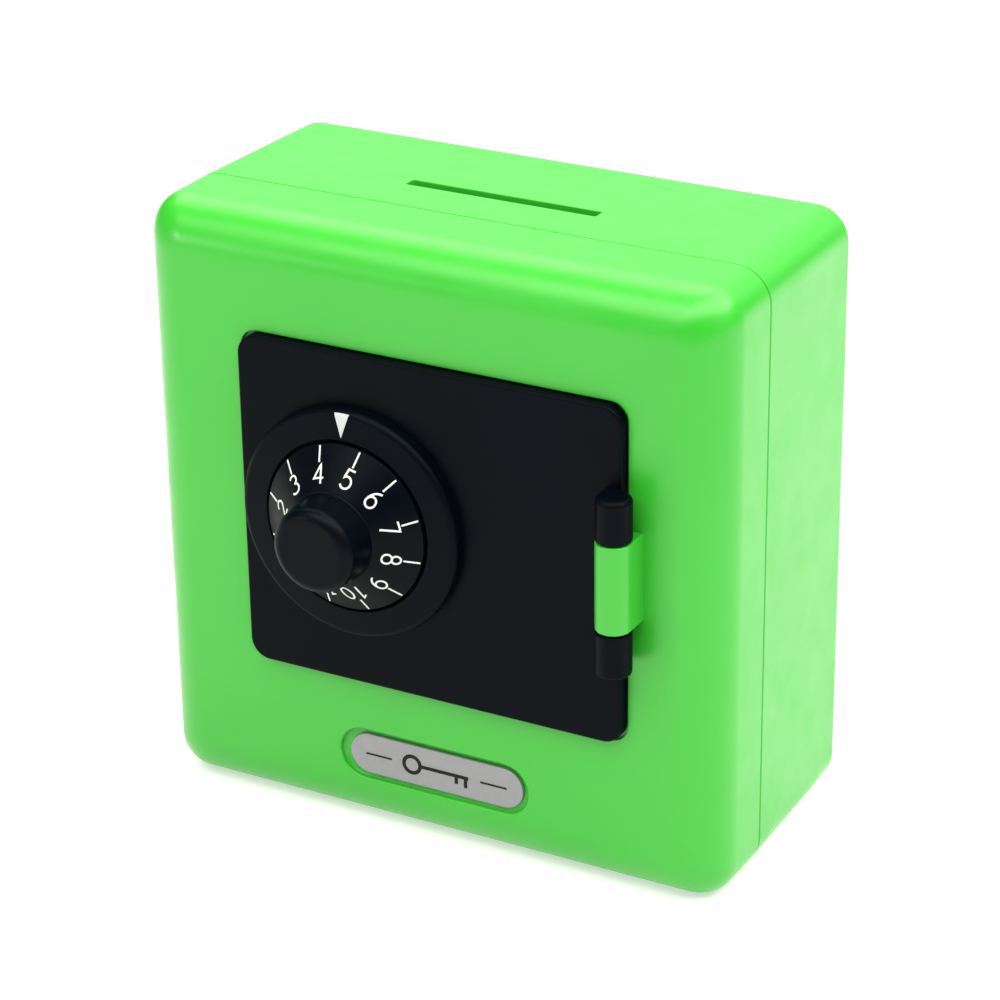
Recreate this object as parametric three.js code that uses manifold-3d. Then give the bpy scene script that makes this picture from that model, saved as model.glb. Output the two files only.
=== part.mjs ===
// Toy safe coin bank: a two-part moulded case, a hinged door with a combination dial,
// and the wheel pack and its cover behind the door.
// Millimetres, +Z up, the front faces -Y. The origin is the middle of the flat underside.
import * as THREE from 'three';
import { mergeVertices } from 'three/addons/utils/BufferGeometryUtils.js';
import Module from 'manifold-3d';

const wasm = await Module();
wasm.setup();

// ---- Driving dimensions ----

const GAP = 0.3; // between pieces that meet
const ARC_STEPS = 5; // straight steps in a rounded corner
const EDGE_STEPS = 5; // straight steps across a rounded edge
const TURNED_SIDES = 36; // sides of a large turned piece
const SMALL_SIDES = 14; // sides of a pin, screw or bore
const OVERCUT = 1; // how far a cutting tool runs past the surface it opens

// Case
const CASE_WIDTH = 120;
const CASE_HEIGHT = 120.5;
const CASE_DEPTH = 58.5;
const FRONT_SHELL_DEPTH = 19.25;
const WALL = 2.4;
const CORNER_RADIUS = 6.7; // seen from the front
const CORNER_SHRINK = 0.45; // loss of corner radius for each millimetre of inset
const FRONT_ROUND = 9.1;
const BACK_ROUND = 3.7;
const DRAFT = 0.8; // taper of the rear shell's sides and top, at its back
const LIP_INSET = 1.35;
const LIP_LENGTH = 2.5;

// Coin slot in the top
const SLOT_LENGTH = 39.5;
const SLOT_WIDTH = 2.9;
const SLOT_X = 0.35;
const SLOT_Y = 2.5;

// Label recess and plate
const LABEL_X = 1.35;
const LABEL_Z = 15.7;
const RECESS_X = 0.95;
const RECESS_LENGTH = 40.5;
const RECESS_HEIGHT = 10.5;
const RECESS_DEPTH = 1.2;
const RECESS_FLARE = 0.5;
const LABEL_LENGTH = 37.3;
const LABEL_HEIGHT = 8.3;
const LABEL_THICKNESS = 0.6;
const LABEL_BEVEL = 0.15;

// Door plate
const DOOR_LEFT = -37.45;
const DOOR_RIGHT = 41.7;
const DOOR_BOTTOM = 32.2;
const DOOR_TOP = 98.8;
const DOOR_CORNER = 4;
const DOOR_PROUD = 2; // in front of the case's face
const DOOR_SUNK = 0.7; // behind the case's face
const DOOR_BEVEL = 0.6;
const REBATE_DEPTH = 1;
const REBATE_GAP = 0.25;
const REBATE_CORNER = 3.4;
const WINDOW_INSET = 2.2; // of the opening inside the door's outline
const WINDOW_RIGHT = 37.4;
const WINDOW_CORNER = 2;

// Hinge
const HINGE_X = 41.6;
const HINGE_PROUD = 5; // axis in front of the case's face
const BARREL_RADIUS = 3.4;
const KNUCKLE_BOTTOM = 57.65;
const KNUCKLE_TOP = 74.9;
const BARREL_LENGTH = 8.3;
const KNUCKLE_GAP = 0.4;
const PIN_RADIUS = 1;
const PIN_CAP = 1.5; // left closed above the pin
const PIN_SUNK = 0.4; // into the lower barrel

// Lock, measured along the dial's axis in front of (+) and behind (-) the case's face
const DIAL_X = -13.2;
const DIAL_Z = 66.05;
const RING_RADIUS = 22.8;
const RING_BORE = 17;
const RING_CREST = 5.2;
const RING_EDGE = [1.4, 1.3]; // width and height of its rounded outer edge
const SKIRT_RADIUS = 16.5;
const SKIRT_FRONT = 5.4;
const SKIRT_BACK = 4.6;
const SKIRT_TOP = 10.4;
const SKIRT_THICKNESS = 1.6;
const KNOB_ROOT = 8.7;
const KNOB_RADIUS = 8.4;
const KNOB_FRONT = 18.2;
const KNOB_ROUND = 2.3;
const HUB_RADIUS = 6;
const SPINDLE_RADIUS = 2.6;
const SPINDLE_FLAT = 1.8;
const SPINDLE_PILOT_END = -7.4;
const POST_RADIUS = 5;
const POST_END = -10.5;
const WHEEL_RADIUS = 16;
const WHEEL_THICKNESS = 2;
const WHEEL_BORE = 5.3;
const WHEEL_FRONTS = [-3.6, -7.2];
const CAM_FRONT = -10.8;
const GATE_FLOOR = 9.4;
const GATE_WIDTH = 9.5;
const DRIVE_PIN_RADIUS = 1;
const DRIVE_PIN_CIRCLE = 7.3;
const DRIVE_PIN_LENGTH = 1;
const DRIVE_PIN_ANGLE = 60;
const SPACER_WALL = 0.8;
const SPACER_LENGTH = 1;
const WASHER_THICKNESS = 0.8;
const TAB_TIP = 13.1; // from the dial's axis
const TAB_WIDTH = 8;
const TAB_FRONT = -1.2;
const TAB_BACK = -3;

// Lock cover
const COVER_RADIUS = 17.9;
const COVER_WALL = 1.2;
const COVER_FRONT = -1;
const COVER_BACK = -17.6;
const COVER_SLOT_FLOOR = 8.9;
const EAR_CIRCLE = 21.5;
const EAR_RADIUS = 3.2;
const EAR_FRONT = -4;
const EAR_BACK = -5.6;
const EAR_ANGLES = [0, 120, 240];
const COVER_PILOT_END = 1.4;

// Screws: shank radius, shank length, head radius, head height
const CASE_SCREW = { shank: 1.35, length: 14, head: 2.8, headHeight: 2 };
const COVER_SCREW = { shank: 1, length: 6.1, head: 2.1, headHeight: 1.4 };
const SPINDLE_SCREW = { shank: 0.9, length: 5.6, head: 2.6, headHeight: 1.5 };
const RECESS_PART = 0.55; // of the head's radius and height that its cross recess takes
const RECESS_WIDTH = 0.5;
const CASE_SCREW_INSET = 8.5; // from the case's sides
const TUBE_RADIUS = 4.8;
const TUBE_LEDGE = 3;
const BOSS_RADIUS = 4;
const PILOT_END = -21.5;
const RIB_THICKNESS = 1.6;
const RIB_FRONT = -22;

// ---- Values that follow ----

const FRONT_Y = -CASE_DEPTH / 2;
const BACK_Y = CASE_DEPTH / 2;
const PARTING_Y = FRONT_Y + FRONT_SHELL_DEPTH;
const HALF_WIDTH = CASE_WIDTH / 2;
const HINGE_Y = FRONT_Y - HINGE_PROUD;
const WINDOW_LEFT = DOOR_LEFT + WINDOW_INSET;
const SPINDLE_END = CAM_FRONT - WHEEL_THICKNESS + 0.2;
const CAM_BACK = CAM_FRONT - WHEEL_THICKNESS;
const CASE_SCREWS = [
  [-HALF_WIDTH + CASE_SCREW_INSET, CASE_SCREW_INSET],
  [HALF_WIDTH - CASE_SCREW_INSET, CASE_SCREW_INSET],
  [-HALF_WIDTH + CASE_SCREW_INSET, CASE_HEIGHT - CASE_SCREW_INSET],
  [HALF_WIDTH - CASE_SCREW_INSET, CASE_HEIGHT - CASE_SCREW_INSET],
];

// ---- Materials ----

function plastic(color, roughness) {
  return () => new THREE.MeshStandardMaterial({ color, roughness, metalness: 0 });
}

function metal(color, roughness) {
  return () => new THREE.MeshStandardMaterial({ color, roughness, metalness: 1 });
}

const greenPlastic = plastic(0x4fe03f, 0.35);
const blackPlastic = plastic(0x17191b, 0.45);
const greyPlastic = plastic(0x8b8f92, 0.5);
const steel = metal(0xb9bcc0, 0.3);
const labelFoil = metal(0xbdb8c4, 0.45);

// ---- Solids ----

const rad = THREE.MathUtils.degToRad;

function toSolid(geometry) {
  const bare = geometry.clone();
  bare.deleteAttribute('normal');
  bare.deleteAttribute('uv');
  const merged = mergeVertices(bare, 1e-4);
  const mesh = new wasm.Mesh({
    numProp: 3,
    vertProperties: new Float32Array(merged.attributes.position.array),
    triVerts: new Uint32Array(merged.index.array),
  });
  return new wasm.Manifold(mesh);
}

function toGeometry(solid) {
  const { vertProperties, triVerts } = solid.getMesh();
  const geometry = new THREE.BufferGeometry();
  geometry.setAttribute('position', new THREE.BufferAttribute(new Float32Array(vertProperties), 3));
  geometry.setIndex(new THREE.BufferAttribute(new Uint32Array(triVerts), 1));
  return geometry;
}

function box(x0, x1, y0, y1, z0, z1) {
  const geometry = new THREE.BoxGeometry(x1 - x0, y1 - y0, z1 - z0);
  return toSolid(geometry.translate((x0 + x1) / 2, (y0 + y1) / 2, (z0 + z1) / 2));
}

// A cylinder along Y between two depths.
function rodY(radius, y0, y1, x = 0, z = 0, sides = SMALL_SIDES) {
  const geometry = new THREE.CylinderGeometry(radius, radius, y1 - y0, sides);
  return toSolid(geometry.translate(x, (y0 + y1) / 2, z));
}

// A cylinder along the hinge axis.
function rodOnHinge(radius, z0, z1, sides = SMALL_SIDES) {
  const geometry = new THREE.CylinderGeometry(radius, radius, z1 - z0, sides);
  return toSolid(geometry.rotateX(Math.PI / 2).translate(HINGE_X, HINGE_Y, (z0 + z1) / 2));
}

// A piece turned about the Y axis, from points of radius and distance in front of the face.
// They run counter-clockwise with the radius to the right and the front upwards.
function turned(profile, sides = TURNED_SIDES) {
  const points = profile.map(([radius, front]) => new THREE.Vector2(radius, -front)).reverse();
  return toSolid(new THREE.LatheGeometry(points, sides));
}

// A flat ring about the Y axis between two distances in front of the face.
function ring(inner, outer, front, back, sides = 2 * SMALL_SIDES) {
  return turned([[inner, front], [inner, back], [outer, back], [outer, front], [inner, front]], sides);
}

// A rounded rectangle seen from the front, counter-clockwise.
function roundedRect(x0, x1, z0, z1, radius) {
  const corners = [
    [x1 - radius, z0 + radius, -90],
    [x1 - radius, z1 - radius, 0],
    [x0 + radius, z1 - radius, 90],
    [x0 + radius, z0 + radius, 180],
  ];
  return corners.flatMap(([x, z, start]) => Array.from({ length: ARC_STEPS + 1 }, (_, step) => {
    const angle = rad(start + (90 * step) / ARC_STEPS);
    return [x + radius * Math.cos(angle), z + radius * Math.sin(angle)];
  }));
}

// A solid skinned over convex outlines of equal length, listed from front to back.
function loft(sections) {
  const positions = sections.flatMap(({ y, outline }) => outline.flatMap(([x, z]) => [x, y, z]));
  const count = sections[0].outline.length;
  const indices = [];
  for (let s = 0; s + 1 < sections.length; s += 1) {
    for (let i = 0; i < count; i += 1) {
      const a = s * count + i;
      const b = s * count + ((i + 1) % count);
      indices.push(a, a + count, b, b, a + count, b + count);
    }
  }
  const last = (sections.length - 1) * count;
  for (let i = 1; i + 1 < count; i += 1) {
    indices.push(0, i, i + 1, last, last + i + 1, last + i);
  }
  const geometry = new THREE.BufferGeometry();
  geometry.setAttribute('position', new THREE.Float32BufferAttribute(positions, 3));
  geometry.setIndex(indices);
  return toSolid(geometry);
}

function prism(outline, y0, y1) {
  return loft([{ y: y0, outline }, { y: y1, outline }]);
}

function piece(name, solid, material) {
  const mesh = new THREE.Mesh(toGeometry(solid), material());
  mesh.name = name;
  return mesh;
}

// ---- Case ----

// The case's outline at one depth, the given distance inside its outer surface.
function caseOutline(y, inset) {
  const draft = (DRAFT * Math.max(0, y - PARTING_Y)) / (BACK_Y - PARTING_Y);
  const side = HALF_WIDTH - inset - draft;
  const radius = CORNER_RADIUS - CORNER_SHRINK * inset;
  return roundedRect(-side, side, inset, CASE_HEIGHT - inset - draft, radius);
}

// The whole case as one block, shrunk by the inset.
function caseBlock(inset) {
  const frontRound = FRONT_ROUND - inset;
  const backRound = BACK_ROUND - inset;
  const sections = [];
  for (let step = 0; step <= EDGE_STEPS; step += 1) {
    const angle = rad((90 * step) / EDGE_STEPS);
    const y = FRONT_Y + inset + frontRound * (1 - Math.cos(angle));
    sections.push({ y, outline: caseOutline(y, inset + frontRound * (1 - Math.sin(angle))) });
  }
  sections.push({ y: PARTING_Y, outline: caseOutline(PARTING_Y, inset) });
  for (let step = EDGE_STEPS; step >= 0; step -= 1) {
    const angle = rad((90 * step) / EDGE_STEPS);
    const y = BACK_Y - inset - backRound * (1 - Math.cos(angle));
    sections.push({ y, outline: caseOutline(y, inset + backRound * (1 - Math.sin(angle))) });
  }
  return loft(sections);
}

// Everything between two depths.
function slab(y0, y1) {
  return box(-CASE_WIDTH, CASE_WIDTH, y0, y1, -CASE_HEIGHT, 2 * CASE_HEIGHT);
}

// A skin of the case between two insets and two depths.
function caseSkin(outer, inner, y0, y1) {
  return caseBlock(outer).subtract(caseBlock(inner)).intersect(slab(y0, y1));
}

// A boss for a case screw, with ribs to the two nearest walls between two depths.
function ribbedBoss(x, z, radius, y0, y1, ribStart, ribEnd) {
  const sideX = Math.sign(x) * (HALF_WIDTH - WALL / 2 - DRAFT / 2);
  const sideZ = z < CASE_HEIGHT / 2 ? WALL / 2 : CASE_HEIGHT - WALL / 2 - DRAFT / 2;
  const half = RIB_THICKNESS / 2;
  const across = box(Math.min(x, sideX), Math.max(x, sideX), ribStart, ribEnd, z - half, z + half);
  const upright = box(x - half, x + half, ribStart, ribEnd, Math.min(z, sideZ), Math.max(z, sideZ));
  return rodY(radius, y0, y1, x, z).add(across).add(upright);
}

function hingeKnuckle() {
  const crown = rodOnHinge(BARREL_RADIUS, KNUCKLE_BOTTOM, KNUCKLE_TOP, 2 * SMALL_SIDES);
  const left = HINGE_X - BARREL_RADIUS;
  const right = HINGE_X + BARREL_RADIUS;
  const root = FRONT_Y + (REBATE_DEPTH + WALL) / 2;
  return crown.add(box(left, right, HINGE_Y, root, KNUCKLE_BOTTOM, KNUCKLE_TOP));
}

// The fixed tab that the wheels' gates pass when the lock is open.
function lockTab() {
  const tip = DIAL_X - TAB_TIP;
  const half = TAB_WIDTH / 2;
  return box(WINDOW_LEFT - 1, tip, FRONT_Y - TAB_FRONT, FRONT_Y - TAB_BACK, DIAL_Z - half, DIAL_Z + half);
}

function pill(x, length, height, grow) {
  const halfLength = length / 2 + grow;
  const halfHeight = height / 2 + grow;
  return roundedRect(x - halfLength, x + halfLength, LABEL_Z - halfHeight, LABEL_Z + halfHeight, halfHeight);
}

function labelRecess() {
  const outline = (grow) => pill(RECESS_X, RECESS_LENGTH, RECESS_HEIGHT, grow);
  return loft([
    { y: FRONT_Y - OVERCUT, outline: outline(OVERCUT) },
    { y: FRONT_Y + RECESS_FLARE, outline: outline(-RECESS_FLARE) },
    { y: FRONT_Y + RECESS_DEPTH, outline: outline(-RECESS_FLARE) },
  ]);
}

function doorRebate() {
  const outline = roundedRect(
    DOOR_LEFT - REBATE_GAP,
    DOOR_RIGHT + REBATE_GAP,
    DOOR_BOTTOM - REBATE_GAP,
    DOOR_TOP + REBATE_GAP,
    REBATE_CORNER,
  );
  return prism(outline, FRONT_Y - OVERCUT, FRONT_Y + REBATE_DEPTH);
}

function doorWindow() {
  const bottom = DOOR_BOTTOM + WINDOW_INSET;
  const top = DOOR_TOP - WINDOW_INSET;
  const outline = roundedRect(WINDOW_LEFT, WINDOW_RIGHT, bottom, top, WINDOW_CORNER);
  return prism(outline, FRONT_Y - OVERCUT, FRONT_Y + WALL + OVERCUT);
}

function makeFrontFrame() {
  let solid = caseSkin(0, WALL, FRONT_Y - OVERCUT, PARTING_Y);
  solid = solid.add(caseSkin(LIP_INSET, WALL, PARTING_Y - OVERCUT, PARTING_Y + LIP_LENGTH));
  for (const [x, z] of CASE_SCREWS) {
    const root = FRONT_Y + WALL - 0.5;
    solid = solid.add(ribbedBoss(x, z, BOSS_RADIUS, root, PARTING_Y, RIB_FRONT, PARTING_Y));
  }
  solid = solid.subtract(doorRebate()).subtract(doorWindow()).subtract(labelRecess());
  solid = solid.add(hingeKnuckle()).add(lockTab());
  for (const [x, z] of CASE_SCREWS) {
    solid = solid.subtract(rodY(CASE_SCREW.shank + GAP, PILOT_END, PARTING_Y + OVERCUT, x, z));
  }
  const bore = rodOnHinge(PIN_RADIUS + GAP, KNUCKLE_BOTTOM - OVERCUT, KNUCKLE_TOP + OVERCUT);
  return piece('front_frame', solid.subtract(bore), greenPlastic);
}

function makeRearShell() {
  const start = PARTING_Y + GAP;
  const ledge = start + TUBE_LEDGE;
  let solid = caseSkin(0, WALL, start, BACK_Y + OVERCUT);
  for (const [x, z] of CASE_SCREWS) {
    solid = solid.add(ribbedBoss(x, z, TUBE_RADIUS, start, BACK_Y - WALL / 2, start, BACK_Y - BACK_ROUND));
  }
  const lipEnd = PARTING_Y + LIP_LENGTH + GAP;
  solid = solid.subtract(caseSkin(LIP_INSET - GAP, WALL + GAP, PARTING_Y - OVERCUT, lipEnd));
  for (const [x, z] of CASE_SCREWS) {
    solid = solid.subtract(rodY(CASE_SCREW.shank + GAP, start - OVERCUT, ledge + OVERCUT, x, z));
    solid = solid.subtract(rodY(CASE_SCREW.head + 2 * GAP, ledge, BACK_Y + OVERCUT, x, z));
  }
  const half = SLOT_LENGTH / 2;
  const front = SLOT_Y - SLOT_WIDTH / 2;
  const top = CASE_HEIGHT + OVERCUT;
  const slot = box(SLOT_X - half, SLOT_X + half, front, front + SLOT_WIDTH, top - 3 * WALL, top);
  return piece('rear_shell', solid.subtract(slot), greenPlastic);
}

function makeLabelPlate() {
  const back = FRONT_Y + RECESS_DEPTH - 0.2;
  const front = back - LABEL_THICKNESS;
  const outline = (grow) => pill(LABEL_X, LABEL_LENGTH, LABEL_HEIGHT, grow);
  const plate = loft([
    { y: front, outline: outline(-LABEL_BEVEL) },
    { y: front + LABEL_BEVEL, outline: outline(0) },
    { y: back, outline: outline(0) },
  ]);
  return piece('label_plate', plate, labelFoil);
}

// ---- Door ----

function doorPlate() {
  const front = FRONT_Y - DOOR_PROUD;
  const outline = (inset) => roundedRect(
    DOOR_LEFT + inset,
    DOOR_RIGHT - inset,
    DOOR_BOTTOM + inset,
    DOOR_TOP - inset,
    DOOR_CORNER - inset,
  );
  return loft([
    { y: front, outline: outline(DOOR_BEVEL) },
    { y: front + DOOR_BEVEL, outline: outline(0) },
    { y: FRONT_Y + DOOR_SUNK, outline: outline(0) },
  ]);
}

// A door barrel between two heights, with the web that roots it in the plate.
function doorBarrel(z0, z1) {
  const web = box(HINGE_X - BARREL_RADIUS, DOOR_RIGHT, HINGE_Y, FRONT_Y, z0, z1);
  return rodOnHinge(BARREL_RADIUS, z0, z1, 2 * SMALL_SIDES).add(web);
}

// The raised ring around the dial, with a rounded outer edge.
function dialRing() {
  const [width, height] = RING_EDGE;
  const shoulder = RING_CREST - 0.4;
  const edge = Array.from({ length: EDGE_STEPS + 1 }, (_, step) => {
    const angle = rad((90 * step) / EDGE_STEPS);
    const radius = RING_RADIUS - width * (1 - Math.cos(angle));
    return [radius, shoulder - height * (1 - Math.sin(angle))];
  });
  const root = DOOR_PROUD - OVERCUT;
  const profile = [[RING_BORE, RING_CREST], [RING_BORE, root], [RING_RADIUS, root], ...edge];
  return turned([...profile, [RING_BORE, RING_CREST]]);
}

function onEarCircle(angle) {
  return [EAR_CIRCLE * Math.cos(rad(angle)), EAR_CIRCLE * Math.sin(rad(angle))];
}

function makeDoor() {
  const lowTop = KNUCKLE_BOTTOM - KNUCKLE_GAP;
  const highBottom = KNUCKLE_TOP + KNUCKLE_GAP;
  const cutLeft = HINGE_X - BARREL_RADIUS - KNUCKLE_GAP;
  let solid = doorPlate();
  solid = solid.subtract(box(cutLeft, DOOR_RIGHT + 1, FRONT_Y - 4, FRONT_Y + 4, lowTop, highBottom));
  solid = solid.add(doorBarrel(lowTop - BARREL_LENGTH, lowTop));
  solid = solid.add(doorBarrel(highBottom, highBottom + BARREL_LENGTH));
  const pinTop = highBottom + BARREL_LENGTH - PIN_CAP + GAP;
  solid = solid.subtract(rodOnHinge(PIN_RADIUS + GAP, lowTop - BARREL_LENGTH - OVERCUT, pinTop));

  let lock = dialRing().add(rodY(POST_RADIUS, 0, -POST_END));
  for (const [x, z] of EAR_ANGLES.map(onEarCircle)) {
    lock = lock.add(rodY(EAR_RADIUS, 0, -EAR_FRONT - GAP, x, z));
  }
  solid = solid.add(lock.translate([DIAL_X, FRONT_Y, DIAL_Z]));

  let holes = rodY(SPINDLE_RADIUS + GAP, -DOOR_PROUD - OVERCUT, -POST_END + OVERCUT);
  for (const [x, z] of EAR_ANGLES.map(onEarCircle)) {
    holes = holes.add(rodY(COVER_SCREW.shank + GAP, -COVER_PILOT_END, -EAR_FRONT + OVERCUT, x, z));
  }
  solid = solid.subtract(holes.translate([DIAL_X, FRONT_Y, DIAL_Z]));
  return piece('door', solid, blackPlastic);
}

function makeHingePin() {
  const bottom = KNUCKLE_BOTTOM - KNUCKLE_GAP - BARREL_LENGTH;
  const top = KNUCKLE_TOP + KNUCKLE_GAP + BARREL_LENGTH - PIN_CAP;
  return piece('hinge_pin', rodOnHinge(PIN_RADIUS, bottom + PIN_SUNK, top), steel);
}

// ---- Lock, in a frame on the dial's axis at the case's front face ----

function makeDial() {
  const skirtEdge = 0.4;
  const profile = [
    [0, SPINDLE_PILOT_END],
    [SPINDLE_SCREW.shank + GAP, SPINDLE_PILOT_END],
    [SPINDLE_SCREW.shank + GAP, SPINDLE_END],
    [SPINDLE_RADIUS, SPINDLE_END],
    [SPINDLE_RADIUS, DOOR_PROUD + 1],
    [HUB_RADIUS, DOOR_PROUD + 1],
    [HUB_RADIUS, SKIRT_TOP - SKIRT_THICKNESS],
    [KNOB_RADIUS, SKIRT_TOP - SKIRT_THICKNESS],
    [SKIRT_RADIUS - SKIRT_THICKNESS, SKIRT_BACK],
    [SKIRT_RADIUS, SKIRT_BACK],
    [SKIRT_RADIUS, SKIRT_FRONT],
    [SKIRT_RADIUS - skirtEdge, SKIRT_FRONT + skirtEdge],
    [KNOB_ROOT + skirtEdge, SKIRT_TOP],
    [KNOB_ROOT, SKIRT_TOP + skirtEdge],
  ];
  for (let step = 0; step <= EDGE_STEPS; step += 1) {
    const angle = rad((90 * step) / EDGE_STEPS);
    const radius = KNOB_RADIUS - KNOB_ROUND * (1 - Math.cos(angle));
    profile.push([radius, KNOB_FRONT - KNOB_ROUND * (1 - Math.sin(angle))]);
  }
  profile.push([0, KNOB_FRONT]);
  const flatEnd = -SPINDLE_END + OVERCUT;
  const flat = box(SPINDLE_FLAT, HUB_RADIUS, -CAM_FRONT - GAP, flatEnd, -HUB_RADIUS, HUB_RADIUS);
  return piece('dial', turned(profile).subtract(flat), blackPlastic);
}

// A gated disc of the wheel pack, with its gate towards -X.
function gatedDisc(front) {
  const disc = rodY(WHEEL_RADIUS, -front, -front + WHEEL_THICKNESS, 0, 0, TURNED_SIDES);
  const half = GATE_WIDTH / 2;
  return disc.subtract(box(-WHEEL_RADIUS - 1, -GATE_FLOOR, 0, -CAM_BACK + 1, -half, half));
}

// A drive pin; a pin on the front of a disc stands beside the one on the disc before it.
function drivePin(y0, y1, isFront) {
  const beside = 2 * Math.asin((DRIVE_PIN_RADIUS + GAP / 2) / DRIVE_PIN_CIRCLE);
  const angle = rad(DRIVE_PIN_ANGLE) + (isFront ? beside : 0);
  const x = DRIVE_PIN_CIRCLE * Math.cos(angle);
  return rodY(DRIVE_PIN_RADIUS, y0, y1, x, DRIVE_PIN_CIRCLE * Math.sin(angle));
}

function makeWheel(index) {
  const front = WHEEL_FRONTS[index];
  const back = front - WHEEL_THICKNESS;
  let solid = gatedDisc(front).subtract(rodY(WHEEL_BORE, 0, -CAM_BACK));
  solid = solid.add(drivePin(-back - 0.5, -back + DRIVE_PIN_LENGTH, false));
  if (index > 0) {
    solid = solid.add(drivePin(-front - DRIVE_PIN_LENGTH, -front + 0.5, true));
  }
  return piece(`combination_wheel_${index + 1}`, solid, greyPlastic);
}

function makeDriveCam() {
  const bore = rodY(SPINDLE_RADIUS + GAP, -CAM_FRONT - OVERCUT, -CAM_BACK + OVERCUT);
  const key = box(SPINDLE_FLAT + GAP, HUB_RADIUS, 0, -CAM_BACK + OVERCUT, -HUB_RADIUS, HUB_RADIUS);
  let solid = gatedDisc(CAM_FRONT).subtract(bore.subtract(key));
  solid = solid.add(drivePin(-CAM_FRONT - DRIVE_PIN_LENGTH, -CAM_FRONT + 0.5, true));
  return piece('drive_cam', solid, greyPlastic);
}

function makeSpacer(index) {
  const front = WHEEL_FRONTS[index] - WHEEL_THICKNESS - GAP;
  const solid = ring(WHEEL_BORE, WHEEL_BORE + SPACER_WALL, front, front - SPACER_LENGTH);
  return piece(`spacer_ring_${index + 1}`, solid, blackPlastic);
}

function makeLockCover() {
  const inner = COVER_RADIUS - COVER_WALL;
  let solid = turned([
    [0, COVER_BACK],
    [COVER_RADIUS, COVER_BACK],
    [COVER_RADIUS, COVER_FRONT],
    [inner, COVER_FRONT],
    [inner, COVER_BACK + COVER_WALL],
    [0, COVER_BACK + COVER_WALL],
  ]);
  for (const angle of EAR_ANGLES) {
    const half = EAR_RADIUS;
    const arm = box(inner + 0.5, EAR_CIRCLE, -EAR_FRONT, -EAR_BACK, -half, half);
    const [x, z] = onEarCircle(angle);
    solid = solid.add(arm.rotate([0, -angle, 0])).add(rodY(EAR_RADIUS, -EAR_FRONT, -EAR_BACK, x, z));
    solid = solid.subtract(rodY(COVER_SCREW.shank + GAP, 0, -EAR_BACK + OVERCUT, x, z));
  }
  const half = GATE_WIDTH / 2;
  const slot = box(-COVER_RADIUS - 1, -COVER_SLOT_FLOOR, 0, -COVER_BACK + OVERCUT, -half, half);
  return piece('lock_cover', solid.subtract(slot), blackPlastic);
}

// ---- Screws ----

// A pan-head screw along Y: its head is at +Y of the origin and its shank at -Y.
function makeScrew(name, { shank, length, head, headHeight }) {
  const tip = shank * 0.8;
  let solid = turned([
    [0, -headHeight],
    [head * 0.75, -headHeight],
    [head, -headHeight * 0.5],
    [head, 0],
    [shank, 0],
    [shank, length],
    [0, length + tip],
  ], SMALL_SIDES);
  const reach = head * RECESS_PART;
  const floor = headHeight * (1 - RECESS_PART);
  const half = RECESS_WIDTH / 2;
  solid = solid.subtract(box(-reach, reach, floor, headHeight + OVERCUT, -half, half));
  solid = solid.subtract(box(-half, half, floor, headHeight + OVERCUT, -reach, reach));
  return piece(name, solid, steel);
}

// ---- Assembly ----

const bank = new THREE.Group();
bank.add(makeFrontFrame(), makeRearShell(), makeLabelPlate());
CASE_SCREWS.forEach(([x, z], index) => {
  const screw = makeScrew(`case_screw_${index + 1}`, CASE_SCREW);
  screw.position.set(x, PARTING_Y + GAP + TUBE_LEDGE + GAP, z);
  bank.add(screw);
});
bank.add(makeDoor(), makeHingePin());

const lock = new THREE.Group();
lock.position.set(DIAL_X, FRONT_Y, DIAL_Z);
lock.add(makeDial(), makeWheel(0), makeWheel(1), makeSpacer(0), makeSpacer(1), makeDriveCam());
const frictionRing = ring(SPINDLE_RADIUS + GAP, HUB_RADIUS, DOOR_PROUD + 0.7, DOOR_PROUD + GAP);
lock.add(piece('friction_washer', frictionRing, steel));
const backWasher = CAM_BACK - GAP;
const washerBore = SPINDLE_SCREW.shank + GAP;
const backRing = ring(washerBore, POST_RADIUS, backWasher, backWasher - WASHER_THICKNESS);
lock.add(piece('spindle_washer', backRing, steel));
const spindleScrew = makeScrew('spindle_screw', SPINDLE_SCREW);
spindleScrew.position.y = -backWasher + WASHER_THICKNESS + GAP;
lock.add(spindleScrew, makeLockCover());
EAR_ANGLES.forEach((angle, index) => {
  const [x, z] = onEarCircle(angle);
  const screw = makeScrew(`cover_screw_${index + 1}`, COVER_SCREW);
  screw.position.set(x, -EAR_BACK + GAP, z);
  lock.add(screw);
});
bank.add(lock);

export default bank;
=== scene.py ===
import math

import bmesh
import bpy
from mathutils import Matrix, Vector
from mathutils.geometry import tessellate_polygon


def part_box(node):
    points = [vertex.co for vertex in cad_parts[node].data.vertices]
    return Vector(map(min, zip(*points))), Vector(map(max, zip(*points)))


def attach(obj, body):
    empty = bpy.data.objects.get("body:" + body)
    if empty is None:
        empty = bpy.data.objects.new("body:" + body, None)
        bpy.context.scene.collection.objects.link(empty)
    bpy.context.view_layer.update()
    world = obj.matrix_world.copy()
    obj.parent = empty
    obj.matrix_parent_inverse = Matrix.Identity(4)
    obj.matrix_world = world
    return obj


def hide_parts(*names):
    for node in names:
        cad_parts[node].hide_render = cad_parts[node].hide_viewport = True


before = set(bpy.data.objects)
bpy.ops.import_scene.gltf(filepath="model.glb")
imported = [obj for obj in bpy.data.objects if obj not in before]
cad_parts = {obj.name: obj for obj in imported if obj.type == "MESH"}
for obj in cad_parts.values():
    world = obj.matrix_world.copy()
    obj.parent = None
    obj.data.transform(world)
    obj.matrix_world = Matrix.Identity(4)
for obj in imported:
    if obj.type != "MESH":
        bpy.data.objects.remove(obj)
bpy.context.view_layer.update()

MM = 0.001


def high_corner(node):
    """The upper right back corner of a CAD node's box, in millimetres."""
    return [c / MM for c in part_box(node)[1]]


# ---- Sizes, from the frame where it gives them ----

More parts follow.
